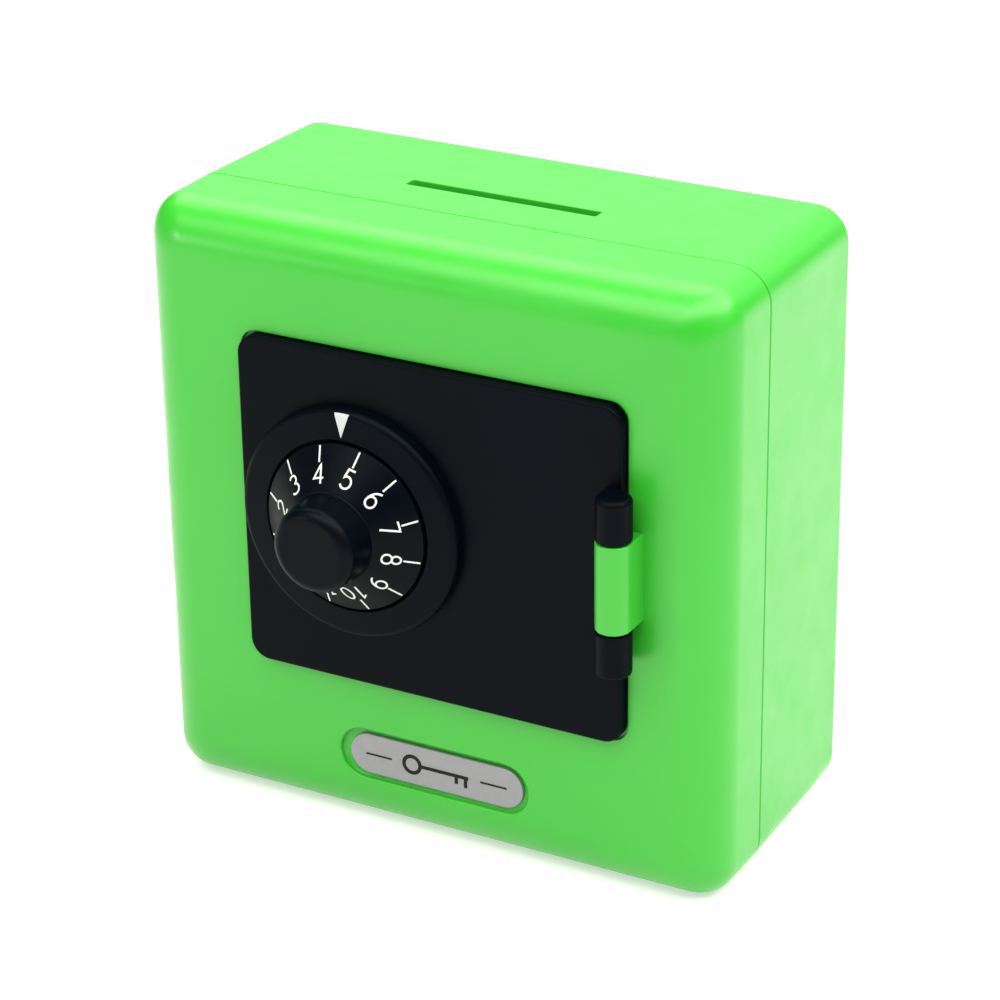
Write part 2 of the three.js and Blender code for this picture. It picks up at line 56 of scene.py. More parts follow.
HALF_WIDTH, BACK_Y, CASE_HEIGHT = high_corner("rear_shell")
FRONT_Y = -BACK_Y
PARTING_Y = -10.0
WALL = 2.4
CORNER_RADIUS = 6.7
CORNER_SHRINK = 0.45  # of the corner radius for each millimetre inwards
FRONT_ROUND = 9.1
BACK_ROUND = 3.7
DRAFT = 0.8  # of the rear shell, on each side, at the back
PART_LINE_GAP = 0.24
PART_LINE_ROUND = 0.3
LIP_INSET = 1.35
LIP_LENGTH = 2.5
SLOT = {"x": 0.35, "y": 2.5, "length": 39.5, "width": 2.9, "corner": 0.3, "edge": 0.25}

DOOR_LEFT, DOOR_RIGHT = -37.45, 41.7
DOOR_BOTTOM, DOOR_TOP = 32.2, 98.8
DOOR_CORNER = 4.0
DOOR_PROUD = 2.0
DOOR_SUNK = 0.7
DOOR_FRONT_EDGE, DOOR_BACK_EDGE = 0.6, 0.2
NOTCH_MOUTH, NOTCH_CORNER = 0.7, 0.3
REBATE_GAP = 0.25
REBATE_DEPTH = 1.0
REBATE_CORNER = 3.4
WINDOW_INSET = 2.2
WINDOW_RIGHT = 37.4
WINDOW_CORNER = 2.0
TAB_INSET, TAB_TIP, TAB_HALF = 1.2, 13.1, 4.0
TAB_FRONT, TAB_BACK, TAB_EDGE = 1.2, 3.0, 0.3

HINGE_X, HINGE_PROUD = 41.6, 5.0
HINGE_Y = FRONT_Y - HINGE_PROUD
BARREL_RADIUS = 3.4
KNUCKLE_BOTTOM, KNUCKLE_TOP = 57.65, 74.9
KNUCKLE_GAP = 0.4
KNUCKLE_EDGE = 0.35
BARREL_LENGTH = 8.3
BARREL_CAP = 1.2  # above the pin's bore in the upper barrel
PIN_RADIUS = 1.0
PIN_EDGE = 0.2
PIN_START, PIN_END = 0.4, 1.5  # of the pin inside the two barrels' ends
BORE_RADIUS = PIN_RADIUS + 0.3
BORE_EDGE = 0.2
HINGE_SIDES = 32
ROOT_DEPTH = 0.5  # of a barrel or a boss inside the wall that carries it

DIAL_X, DIAL_Z = -13.2, 66.05
RING_RADIUS, RING_BORE, RING_CREST = 22.8, 17.0, 5.2
RING_SHOULDER = 4.8
RING_EDGE = (1.4, 1.3)  # across and down
RING_ROOT, RING_LIP = 1.6, 0.3
SKIRT_RADIUS, SKIRT_FRONT, SKIRT_BACK, SKIRT_TOP = 16.5, 5.4, 4.6, 10.4
SKIRT_WALL, SKIRT_LIP, SKIRT_EDGE = 1.6, 0.15, 0.2
KNOB_ROOT, KNOB_RADIUS, KNOB_FRONT = 8.7, 8.4, 18.2
KNOB_ROUND, KNOB_FILLET = 2.3, 0.4
HUB_RADIUS, HUB_BACK = 6.0, DOOR_PROUD + 1.0
SPINDLE_RADIUS, SPINDLE_END, SPINDLE_EDGE = 2.6, -12.6, 0.3
SPINDLE_GAP = 0.3
POST_RADIUS, POST_END, POST_EDGE = 5.0, -10.5, 0.3
EAR_CIRCLE, EAR_RADIUS, EAR_ANGLES = 21.5, 3.2, (0, 120, 240)
EAR_FRONT, EAR_BACK, EAR_HOLE, EAR_ROOT = -4.0, -5.6, 1.3, 0.4
PILLAR_END, PILLAR_EDGE, PILLAR_HOLE_END = -3.7, 0.2, -0.8
COVER_RADIUS, COVER_WALL, COVER_FRONT, COVER_BACK = 17.9, 1.2, -1.0, -17.6
COVER_EDGE, COVER_STEPS = 0.8, 96
COVER_SLOT_HALF, COVER_SLOT_X = 4.75, -8.9

LABEL = {"x": 1.35, "z": 15.7, "length": 37.3, "height": 8.3}
LABEL_THICKNESS, LABEL_EDGE, LABEL_BACK = 0.8, 0.15, 0.6
RECESS = {"x": 0.95, "z": 15.7, "length": 40.5, "height": 10.5, "depth": 1.2}
RECESS_EDGE, RECESS_FILLET = 0.45, 0.6
REBATE_EDGE = 0.15
PILL_FLAT = 0.01  # left straight between a pill's two corners

CORNER_STEPS = 12
EDGE_STEPS = 10
FRONT_STEPS = 14
SOFT_EDGE = 0.2
SHARP_ANGLE = 35.0
FLAT_FACE_WEIGHT = 90  # keeps flat faces flat beside their rounded edges
SMALLEST_CORNER = 0.03
SMALLEST_RADIUS = 0.02


# ---- Outlines ----

def rounded(corners, inset=0.0, steps=CORNER_STEPS):
    """A counter-clockwise polygon of (x, z, radius) corners, moved inwards and rounded."""
    points = []
    count = len(corners)
    for i, (x, z, radius) in enumerate(corners):
        here = Vector((x, z))
        before = Vector(corners[i - 1][:2])
        after = Vector(corners[(i + 1) % count][:2])
        into, out = (here - before).normalized(), (after - here).normalized()
        n1, n2 = Vector((-into.y, into.x)), Vector((-out.y, out.x))
        towards = (n1 + n2) / (1 + n1.dot(n2))
        turn = 1.0 if into.x * out.y - into.y * out.x >= 0 else -1.0
        size = max(radius - inset * turn, SMALLEST_CORNER)
        here = here + towards * inset
        centre = here + towards * size * turn
        start = math.atan2(-n1.y * turn, -n1.x * turn)
        sweep = math.atan2(n1.x * n2.y - n1.y * n2.x, n1.dot(n2))
        for step in range(steps + 1):
            angle = start + sweep * step / steps
            points.append((centre.x + size * math.cos(angle), centre.y + size * math.sin(angle)))
    return points


def rect(x0, x1, z0, z1, radius, inset=0.0):
    corners = [(x1, z0, radius), (x1, z1, radius), (x0, z1, radius), (x0, z0, radius)]
    return rounded(corners, inset)


def circle(x, z, radius, count=48):
    turn = math.tau / count
    return [(x + radius * math.cos(turn * i), z + radius * math.sin(turn * i)) for i in range(count)]


def at_y(outline, y):
    return [(x, y, z) for x, z in outline]


def at_z(outline, z):
    return [(x, y, z) for x, y in outline]


def round_over(radius, steps=EDGE_STEPS):
    """(depth, inset) pairs down a rounded edge, from the face to the wall."""
    for step in range(steps + 1):
        angle = math.pi / 2 * step / steps
        yield radius * (1 - math.cos(angle)), radius * (1 - math.sin(angle))


# ---- Meshes ----

class Body:
    """A surface made of loops of points, the strips between them and flat faces with holes."""

    def __init__(self):
        self.bm = bmesh.new()

    def loop(self, points):
        return [self.bm.verts.new(point) for point in points]

    def strip(self, a, b, skip=()):
        """Joins two loops with quads, but leaves out those that skip names."""
        for i in range(len(a)):
            j = (i + 1) % len(a)
            if i not in skip:
                self.bm.faces.new((a[i], a[j], b[j], b[i]))

    def sweep(self, loops):
        """Joins a row of loops into a tube and gives back its two open ends."""
        made = [self.loop(points) for points in loops]
        for a, b in zip(made, made[1:]):
            self.strip(a, b)
        return made[0], made[-1]

    def cover(self, outer, *holes):
        """Fills a flat loop, around any holes."""
        verts = [v for edge in (outer, *holes) for v in edge]
        lines = [[v.co for v in edge] for edge in (outer, *holes)]
        for triangle in tessellate_polygon(lines):
            self.bm.faces.new([verts[i] for i in triangle])

    def solid(self, loops):
        first, last = self.sweep(loops)
        self.cover(first)
        self.cover(last)

    def turn(self, profile, x=DIAL_X, z=DIAL_Z, count=128):
        """A solid turned about Y from (radius, front) points; it is capped where it stops."""
        self.solid([at_y(circle(x, z, max(radius, SMALLEST_RADIUS), count), FRONT_Y - front)
                    for radius, front in profile])

    def ring(self, profile, count):
        """A ring turned about the dial's axis from a closed profile."""
        loops = [self.loop(at_y(circle(DIAL_X, DIAL_Z, radius, count), FRONT_Y - front))
                 for radius, front in profile]
        for a, b in zip(loops, loops[1:] + loops[:1]):
            self.strip(a, b)

    def block(self, x0, x1, y0, y1, z0, z1, edge=SOFT_EDGE):
        """A box with soft edges."""
        front = [at_y(rect(x0, x1, z0, z1, edge, inset), y0 + depth) for depth, inset in round_over(edge, 3)]
        back = [at_y(rect(x0, x1, z0, z1, edge, inset), y1 - depth) for depth, inset in round_over(edge, 3)]
        self.solid([*front, *back[::-1]])

    def piece(self, name, material, body, slot_name, nodes=(), sharp=SHARP_ANGLE):
        bmesh.ops.recalc_face_normals(self.bm, faces=self.bm.faces)
        self.bm.transform(Matrix.Scale(MM, 4))
        mesh = bpy.data.meshes.new(name)
        self.bm.to_mesh(mesh)
        self.bm.free()
        place(name, mesh, material, body, slot_name, nodes, sharp)


def place(name, mesh, material, body, slot_name, nodes, sharp):
    """Shades a mesh, gives it its material and hangs it on its body."""
    mesh.polygons.foreach_set("use_smooth", [True] * len(mesh.polygons))
    mesh.set_sharp_from_angle(angle=math.radians(sharp))
    mesh.materials.append(material)
    piece = bpy.data.objects.new(name, mesh)
    bpy.context.scene.collection.objects.link(piece)
    weighted = piece.modifiers.new("even_normals", "WEIGHTED_NORMAL")
    weighted.keep_sharp = True
    weighted.weight = FLAT_FACE_WEIGHT
    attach(piece, body)
    if nodes:
        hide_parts(*nodes)


# ---- Materials ----

NOISE_LOW, NOISE_HIGH = 0.3, 0.7  # the range that a noise mostly keeps to
FLOW_SCALE, GLOSS_SCALE, SINK_SCALE, GRAIN_SCALE = 28.0, 160.0, 22.0, 2600.0
SINK_DEPTH = 0.0002
TARNISH_SCALE, POLISH_SCALE, TURNING_SCALE = 420.0, 900.0, 3000.0
TURNING_DEPTH = 0.000004


class Nodes:
    """A material's node tree with short ways to add and link nodes."""

    def __init__(self, name):
        self.material = bpy.data.materials.new(name)
        self.material.use_nodes = True
        self.tree = self.material.node_tree
        self.shader = self.tree.nodes["Principled BSDF"]
        self.coords = self.tree.nodes.new("ShaderNodeTexCoord").outputs["Object"]

    def add(self, kind, inputs=(), **settings):
        node = self.tree.nodes.new(kind)
        for key, value in settings.items():
            setattr(node, key, value)
        for key, value in dict(inputs).items():
            if hasattr(value, "is_output"):
                self.tree.links.new(value, node.inputs[key])
            else:
                node.inputs[key].default_value = value
        return node

    def noise(self, scale, detail=2.0, roughness=0.5):
        inputs = {"Vector": self.coords, "Scale": scale, "Detail": detail, "Roughness": roughness}
        return self.add("ShaderNodeTexNoise", inputs).outputs["Fac"]

    def shade(self, factor, low, high):
        """A colour that runs between two over the noise's range."""
        ramp = self.add("ShaderNodeValToRGB", {"Fac": factor})
        ramp.color_ramp.elements[0].position = NOISE_LOW
        ramp.color_ramp.elements[0].color = (*low, 1)
        ramp.color_ramp.elements[1].position = NOISE_HIGH
        ramp.color_ramp.elements[1].color = (*high, 1)
        return ramp.outputs["Color"]

    def spread(self, factor, low, high):
        """A number that runs between two over the noise's range."""
        inputs = {"Value": factor, "To Min": low, "To Max": high,
                  "From Min": NOISE_LOW, "From Max": NOISE_HIGH}
        return self.add("ShaderNodeMapRange", inputs).outputs["Result"]

    def bump(self, height, distance, normal=None):
        inputs = {"Height": height, "Distance": distance, "Strength": 1.0}
        if normal is not None:
            inputs["Normal"] = normal
        return self.add("ShaderNodeBump", inputs).outputs["Normal"]

    def link(self, output, socket):
        self.tree.links.new(output, self.shader.inputs[socket])

    def set(self, **values):
        for key, value in values.items():
            self.shader.inputs[key.replace("_", " ")].default_value = value


def tinted(colour, factor):
    return tuple(min(1.0, c * factor) for c in colour)


def moulded(name, colour, rough, grain, vary, **values):
    """Injection-moulded plastic: slight flow marks, a fine grain and shallow sink in the surface."""
    nodes = Nodes(name)
    flow = nodes.noise(FLOW_SCALE, 3.0, 0.55)
    nodes.link(nodes.shade(flow, tinted(colour, 1 - vary), tinted(colour, 1 + vary)), "Base Color")
    nodes.link(nodes.spread(nodes.noise(GLOSS_SCALE, 4.0), *rough), "Roughness")
    sink = nodes.bump(nodes.noise(SINK_SCALE, 1.0), SINK_DEPTH)
    nodes.link(nodes.bump(nodes.noise(GRAIN_SCALE, 2.0), grain, sink), "Normal")
    nodes.set(**values)
    return nodes.material


def plated(name, colour, rough, metallic):
    """Bright metal: fine turning marks and a little tarnish."""
    nodes = Nodes(name)
    tarnish = nodes.noise(TARNISH_SCALE, 4.0)
    nodes.link(nodes.shade(tarnish, tinted(colour, 0.94), colour), "Base Color")
    nodes.link(nodes.spread(nodes.noise(POLISH_SCALE, 3.0), *rough), "Roughness")
    nodes.link(nodes.bump(nodes.noise(TURNING_SCALE, 2.0), TURNING_DEPTH), "Normal")
    nodes.set(Metallic=metallic)
    return nodes.material


GREEN = (0.028, 0.37, 0.022)
BLACK = (0.0008, 0.0018, 0.0040)
PLASTIC_GRAIN, DOOR_GRAIN, WHEEL_GRAIN, PRINT_GRAIN = 0.000006, 0.000010, 0.000008, 0.000003
PRINT_ROUGH = (0.45, 0.6)
green_plastic = moulded("green_plastic", GREEN, (0.28, 0.38), PLASTIC_GRAIN, vary=0.02)
black_plastic = moulded("black_plastic", BLACK, (0.36, 0.46), DOOR_GRAIN, vary=0.2,
                        Specular_IOR_Level=0.044)
dial_plastic = moulded("dial_plastic", BLACK, (0.30, 0.40), PLASTIC_GRAIN, vary=0.2,
                       Specular_IOR_Level=0.055)
grey_plastic = moulded("grey_plastic", (0.23, 0.24, 0.26), (0.4, 0.52), WHEEL_GRAIN, vary=0.05)
white_print = moulded("white_print", (0.66, 0.67, 0.68), PRINT_ROUGH, PRINT_GRAIN, vary=0.04)
black_print = moulded("black_print", (0.006, 0.006, 0.007), (0.5, 0.6), PRINT_GRAIN, vary=0.1,
                      Specular_IOR_Level=0.15)
index_print = moulded("index_print", (0.48, 0.49, 0.53), PRINT_ROUGH, PRINT_GRAIN, vary=0.04)
steel = plated("plated_steel", (0.62, 0.62, 0.64), (0.24, 0.36), metallic=1.0)
silver_foil = plated("silver_foil", (0.265, 0.26, 0.29), (0.46, 0.56), metallic=0.4)


# ---- Case ----

def case_loop(y, inset):
    draft = DRAFT * max(0.0, y - PARTING_Y) / (BACK_Y - PARTING_Y)
    side = HALF_WIDTH - inset - draft
    radius = CORNER_RADIUS - CORNER_SHRINK * inset
    return at_y(rect(-side, side, inset, CASE_HEIGHT - inset - draft, radius), y)


def front_edge(inset):
    """Loops over the rounded front edge, from the flat face to the straight sides."""
    start = FRONT_Y + inset
    edge = round_over(FRONT_ROUND - inset, FRONT_STEPS)
    return [case_loop(start + depth, inset + more) for depth, more in edge]


def back_edge(inset):
    """Loops over the rounded back edge, from the straight sides to the flat back."""
    start = BACK_Y - inset
    loops = [case_loop(start - depth, inset + more) for depth, more in round_over(BACK_ROUND - inset)]
    return loops[::-1]


def rim(outline, y, radius, depth_to, steps=5):
    """Loops down into a hole, over its rounded edge and along its wall, of an outline with an inset."""
    loops = [at_y(outline(-inset), y + depth) for depth, inset in round_over(radius, steps)]
    return [*loops, at_y(outline(0.0), depth_to)]


def door_corners(grow=0.0, radius=DOOR_CORNER):
    x0, x1 = DOOR_LEFT - grow, DOOR_RIGHT + grow
    z0, z1 = DOOR_BOTTOM - grow, DOOR_TOP + grow
    return [(x1, z0, radius), (x1, z1, radius), (x0, z1, radius), (x0, z0, radius)]


def window(inset=0.0):
    low, high = DOOR_BOTTOM + WINDOW_INSET, DOOR_TOP - WINDOW_INSET
    return rect(DOOR_LEFT + WINDOW_INSET, WINDOW_RIGHT, low, high, WINDOW_CORNER, inset)


def pill(shape, inset=0.0):
    half = shape["height"] / 2
    reach = shape["length"] / 2
    x, z = shape["x"], shape["z"]
    return rect(x - reach, x + reach, z - half, z + half, half - PILL_FLAT, inset)


SCREW_INSET = 8.5
BOSS_RADIUS, TUBE_RADIUS = 4.0, 4.8
RIB_THICKNESS, RIB_FRONT = 1.6, -22.0
SCREW_HOLE, HEAD_HOLE, HEAD_HOLE_EDGE = 1.65, 3.4, 0.3
PILOT_FRONT = -7.5
BOSS_ROOT = 0.4 - WALL
LEDGE_Y = PARTING_Y + 3.3
CASE_SCREWS = [(sx * (HALF_WIDTH - SCREW_INSET), z)
               for z in (SCREW_INSET, CASE_HEIGHT - SCREW_INSET) for sx in (-1, 1)]


def ribs(body, x, z, boss_radius, y0, y1):
    """The two ribs from the side of a screw boss to the walls beside it."""
    wall_x = math.copysign(HALF_WIDTH - WALL / 2 - DRAFT / 2, x)
    wall_z = WALL / 2 if z < CASE_HEIGHT / 2 else CASE_HEIGHT - WALL / 2 - DRAFT / 2
    half = RIB_THICKNESS / 2
    start_x = x + math.copysign(boss_radius - ROOT_DEPTH, wall_x - x)
    start_z = z + math.copysign(boss_radius - ROOT_DEPTH, wall_z - z)
    body.block(min(start_x, wall_x), max(start_x, wall_x), y0, y1, z - half, z + half)
    body.block(x - half, x + half, y0, y1, min(start_z, wall_z), max(start_z, wall_z))


def hinge_rings(radius, edge, low, high, steps):
    """Circles about the hinge: a rod's with a positive edge, or a flared bore's with a negative one."""
    rounds = [(radius - math.copysign(inset, edge), depth) for depth, inset in round_over(abs(edge), steps)]
    foot = [at_z(circle(HINGE_X, HINGE_Y, size, HINGE_SIDES), low + depth) for size, depth in rounds]
    head = [at_z(circle(HINGE_X, HINGE_Y, size, HINGE_SIDES), high - depth) for size, depth in rounds]
    return [*foot, *head[::-1]]


def hinge_knuckle(body):
    """The case's middle knuckle: a round crown on straight flanks, bored for the pin."""
    left, right = HINGE_X - BARREL_RADIUS, HINGE_X + BARREL_RADIUS
    root = FRONT_Y + REBATE_DEPTH + ROOT_DEPTH

    def outline(inset):
        crown = arc(HINGE_X, HINGE_Y, BARREL_RADIUS - inset, inset - BARREL_RADIUS, 0, 180, 40)
        return [*crown, (left + inset, root), (right - inset, root)]

    edge = list(round_over(KNUCKLE_EDGE, 4))
    low = [at_z(outline(inset), KNUCKLE_BOTTOM + depth) for depth, inset in edge]
    high = [at_z(outline(inset), KNUCKLE_TOP - depth) for depth, inset in edge]
    first, last = body.sweep([*low, *high[::-1]])
    foot, head = body.sweep(hinge_rings(BORE_RADIUS, -BORE_EDGE, KNUCKLE_BOTTOM, KNUCKLE_TOP, 3))
    body.cover(first, foot)
    body.cover(last, head)


def make_front_frame():
    body = Body()
    line = [case_loop(PARTING_Y - depth, inset) for depth, inset in round_over(PART_LINE_ROUND, 4)]
    lip_end = PARTING_Y + LIP_LENGTH
    lip = [case_loop(y, inset) for y, inset in
           ((PARTING_Y, LIP_INSET), (lip_end, LIP_INSET), (lip_end, WALL))]
    face, inside = body.sweep([*front_edge(0.0), *line[::-1], *lip, *front_edge(WALL)[::-1]])

    def rebate(inset):
        return rounded(door_corners(REBATE_GAP, REBATE_CORNER), inset)

    floor_y = FRONT_Y + REBATE_DEPTH
    rebate_top, rebate_floor = body.sweep(rim(rebate, FRONT_Y, REBATE_EDGE, floor_y))
    window_top, window_end = body.sweep(rim(window, floor_y, SOFT_EDGE, FRONT_Y + WALL, 3))
    fillet_y = FRONT_Y + RECESS["depth"] - RECESS_FILLET
    recess_loops = rim(lambda inset: pill(RECESS, inset), FRONT_Y, RECESS_EDGE, fillet_y, 6)
    for a in turns(15, 90, 5):
        inset = RECESS_FILLET - RECESS_FILLET * math.cos(a)
        recess_loops.append(at_y(pill(RECESS, inset), fillet_y + RECESS_FILLET * math.sin(a)))
    recess_top, recess_floor = body.sweep(recess_loops)
    body.cover(face, rebate_top, recess_top)
    body.cover(rebate_floor, window_top)
    body.cover(inside, window_end)
    body.cover(recess_floor)

    hinge_knuckle(body)
    body.block(DOOR_LEFT + TAB_INSET, DIAL_X - TAB_TIP, FRONT_Y + TAB_FRONT, FRONT_Y + TAB_BACK,
               DIAL_Z - TAB_HALF, DIAL_Z + TAB_HALF, TAB_EDGE)
    boss_end = FRONT_Y - PARTING_Y
    for x, z in CASE_SCREWS:
        profile = [(BOSS_RADIUS, BOSS_ROOT), (BOSS_RADIUS, boss_end),
                   (SCREW_HOLE, boss_end), (SCREW_HOLE, PILOT_FRONT)]
        body.turn(profile, x, z, 40)
        ribs(body, x, z, BOSS_RADIUS, RIB_FRONT, PARTING_Y)
    body.piece("front_case", green_plastic, "case", "case", ["front_frame"])


def make_rear_shell():
    body = Body()
    start = PARTING_Y + PART_LINE_GAP
    rebate_end = PARTING_Y + LIP_LENGTH + PART_LINE_GAP
    rebate_inset = LIP_INSET - PART_LINE_GAP
    line = [case_loop(start + depth, inset) for depth, inset in round_over(PART_LINE_ROUND, 4)]
    outer = [*line, *back_edge(0.0)]
    inner = [case_loop(start, rebate_inset), case_loop(rebate_end, rebate_inset),
             case_loop(rebate_end, WALL), *back_edge(WALL)]
    outer_loops = [body.loop(points) for points in outer]
    inner_loops = [body.loop(points) for points in inner]
    top_edge = 2 * (CORNER_STEPS + 1) - 1  # the flat top's quad in a strip
    slot_above = len(line) - 1  # the strip outside that the coin slot opens
    slot_below = 2  # and the one inside
    for loops, opened in ((outer_loops, slot_above), (inner_loops, slot_below)):
        for k in range(len(loops) - 1):
            body.strip(loops[k], loops[k + 1], [top_edge] if k == opened else ())
    body.strip(outer_loops[0], inner_loops[0])

    def slot(inset, drop):
        x, y, half, width = SLOT["x"], SLOT["y"], SLOT["length"] / 2, SLOT["width"] / 2
        outline = rect(x - half, x + half, y - width, y + width, SLOT["corner"], inset)
        slope = DRAFT / (BACK_Y - PARTING_Y)
        return [(x, y, CASE_HEIGHT - slope * (y - PARTING_Y) - drop) for x, y in outline]

    over = [slot(-inset, depth) for depth, inset in round_over(SLOT["edge"], 4)]
    slot_top, slot_end = body.sweep([*over, slot(0.0, WALL)])
    for loops, opened, hole in ((outer_loops, slot_above, slot_top), (inner_loops, slot_below, slot_end)):
        a, b = loops[opened], loops[opened + 1]
        body.cover([a[top_edge], a[top_edge + 1], b[top_edge + 1], b[top_edge]], hole)

    outside, inside = [], []
    for x, z in CASE_SCREWS:
        loops = [at_y(circle(x, z, HEAD_HOLE + inset), BACK_Y - depth)
                 for depth, inset in round_over(HEAD_HOLE_EDGE, 4)]
        for radius, y in ((HEAD_HOLE, LEDGE_Y), (SCREW_HOLE, LEDGE_Y), (SCREW_HOLE, start),
                          (TUBE_RADIUS, start), (TUBE_RADIUS, BACK_Y - WALL / 2),
                          (HEAD_HOLE + ROOT_DEPTH, BACK_Y - WALL)):
            loops.append(at_y(circle(x, z, radius), y))
        first, last = body.sweep(loops)
        outside.append(first)
        inside.append(last)
        ribs(body, x, z, TUBE_RADIUS, rebate_end, BACK_Y - BACK_ROUND)
    body.cover(outer_loops[-1], *outside)
    body.cover(inner_loops[-1], *inside)
    body.piece("rear_case", green_plastic, "case", "case", ["rear_shell"])


# Strokes of a key between two rules, about the middle of the label.
BOW_X, BOW_RADIUS = -5.2, 1.75
KEY_STROKES = [([(-3.5, 0.0), (7.0, 0.0)], 0.7), ([(4.4, 0.0), (4.4, -1.7)], 0.7),
               ([(6.4, 0.0), (6.4, -2.1)], 0.7), ([(-15.2, 0.0), (-9.6, 0.0)], 0.35),
               ([(9.6, 0.0), (15.2, 0.0)], 0.35)]
BOW_STROKE = 0.75
KEY_RISE, KEY_LAYER = 0.05, 0.004


def make_label():
    front = FRONT_Y + RECESS["depth"] - LABEL_THICKNESS
    loops = [at_y(pill(LABEL, inset), front + depth) for depth, inset in round_over(LABEL_EDGE, 4)]
    body = Body()
    body.solid([*loops, at_y(pill(LABEL), front + LABEL_BACK)])
    body.piece("label_plate_face", silver_foil, "case", "label", ["label_plate"])

    def on_plate(u, v, rise):
        return LABEL["x"] + u, front - rise, LABEL["z"] + v

    mark = Body()
    bow = arc(BOW_X, 0.0, BOW_RADIUS, BOW_RADIUS, 0, 360, 48)
    for order, (line, width) in enumerate([(bow, BOW_STROKE), *KEY_STROKES]):
        ribbon(mark, line, width, on_plate, KEY_RISE + KEY_LAYER * order)
    mark.piece("label_key_mark", black_print, "case", "label")


# ---- Printed marks ----

SUNK = 0.05  # of a mark's back below the surface that it is printed on
SAME_PLACE = 1e-6
SHARPEST_MITRE = 0.5


def turns(start, end, steps):
    """Even steps between two angles in degrees, as radians."""
    return [math.radians(start + (end - start) * step / steps) for step in range(steps + 1)]


def ribbon(body, line, width, place_at, rise):
    """A thin printed stroke of even width along a line, with its ends squared off."""
    points = [Vector(point) for point in line]
    closed = (points[0] - points[-1]).length < SAME_PLACE
    if closed:
        points.pop()
    sides = ([], [])
    last = len(points) - 1
    for i, point in enumerate(points):
        before = points[i - 1] if closed or i else None
        after = points[(i + 1) % len(points)] if closed or i < last else None
        along = [(b - a).normalized() for a, b in ((before, point), (point, after)) if a and b]
        normals = [Vector((-d.y, d.x)) for d in along]
        mean = sum(normals, Vector((0, 0))).normalized()
        reach = width / 2 / max(mean.dot(normals[0]), SHARPEST_MITRE)
        sides[0].append(point + mean * reach)
        sides[1].append(point - mean * reach)
    corners = ((sides[0], -SUNK), (sides[0], rise), (sides[1], rise), (sides[1], -SUNK))
    rows = [[body.bm.verts.new(place_at(p.x, p.y, height)) for p in side] for side, height in corners]
    for a, b in zip(rows, rows[1:] + rows[:1]):
        for i in range(len(points) if closed else last):
            j = (i + 1) % len(points)
            body.bm.faces.new((a[i], a[j], b[j], b[i]))
    if not closed:
        for i in (0, last):
            body.bm.faces.new([row[i] for row in rows])


def arc(x, y, rx, ry, start, end, steps=16):
    return [(x + rx * math.cos(a), y + ry * math.sin(a)) for a in turns(start, end, steps)]


# Strokes of each digit in a box 0.6 wide and 1 tall.
DIGITS = {
    "0": [arc(0.3, 0.5, 0.27, 0.5, 0, 360, 28)],
    "1": [[(0.12, 0.8), (0.34, 1.0), (0.34, 0.0)]],
    "2": [[*arc(0.3, 0.72, 0.26, 0.28, 165, -38), (0.04, 0.0), (0.58, 0.0)]],
    "3": [arc(0.27, 0.76, 0.24, 0.24, 150, -85), arc(0.27, 0.27, 0.29, 0.27, 85, -150)],
    "4": [[(0.44, 0.0), (0.44, 1.0), (0.02, 0.3), (0.6, 0.3)]],
    "5": [[(0.54, 1.0), (0.16, 1.0), (0.1, 0.55), *arc(0.28, 0.32, 0.29, 0.32, 118, -150)]],
    "6": [arc(0.56, 0.36, 0.53, 0.63, 102, 180), arc(0.3, 0.3, 0.27, 0.3, 0, 360, 24)],
    "7": [[(0.03, 1.0), (0.57, 1.0), (0.2, 0.0)]],
    "8": [arc(0.3, 0.76, 0.22, 0.24, 0, 360, 24), arc(0.3, 0.27, 0.27, 0.27, 0, 360, 24)],
    "9": [arc(0.04, 0.64, 0.53, 0.63, -78, 0), arc(0.3, 0.7, 0.27, 0.3, 0, 360, 24)],
}
DIGIT_HEIGHT = 3.6
DIGIT_ADVANCE = 0.78
DIGIT_WIDTH = 0.6
DIGIT_TOP = -3.6
DIGIT_STROKE, TICK_STROKE = 0.37, 0.34
TICK_START, TICK_END = -0.02, -3.15
DIAL_RISE, DIAL_LAYER = 0.04, 0.008
DIAL_READING = 4.55  # the number under the index at rest
NUMBERS = 12
SKIRT_START = Vector((16.3, 5.62))
SKIRT_END = Vector((9.1, 10.4))


def on_skirt(number):
    """Gives the places of (u, v) marks on the dial's cone: u runs clockwise from a number, v to the rim."""
    middle = math.radians((number - DIAL_READING) * 360.0 / NUMBERS)
    slope = (SKIRT_END - SKIRT_START).normalized()
    outwards = Vector((slope.y, -slope.x))

    def place_at(u, v, rise):
        spot = SKIRT_START + slope * -v + outwards * rise
        angle = middle + u / spot.x
        return (DIAL_X + spot.x * math.sin(angle), FRONT_Y - spot.y, DIAL_Z + spot.x * math.cos(angle))

    return place_at


def split(line, longest=0.4):
    """The same line with short steps, so that it follows a curved surface."""
    points = [line[0]]
    for (x0, y0), (x1, y1) in zip(line, line[1:]):
        steps = max(1, math.ceil(math.hypot(x1 - x0, y1 - y0) / longest))
        points += [(x0 + (x1 - x0) * k / steps, y0 + (y1 - y0) * k / steps) for k in range(1, steps + 1)]
    return points


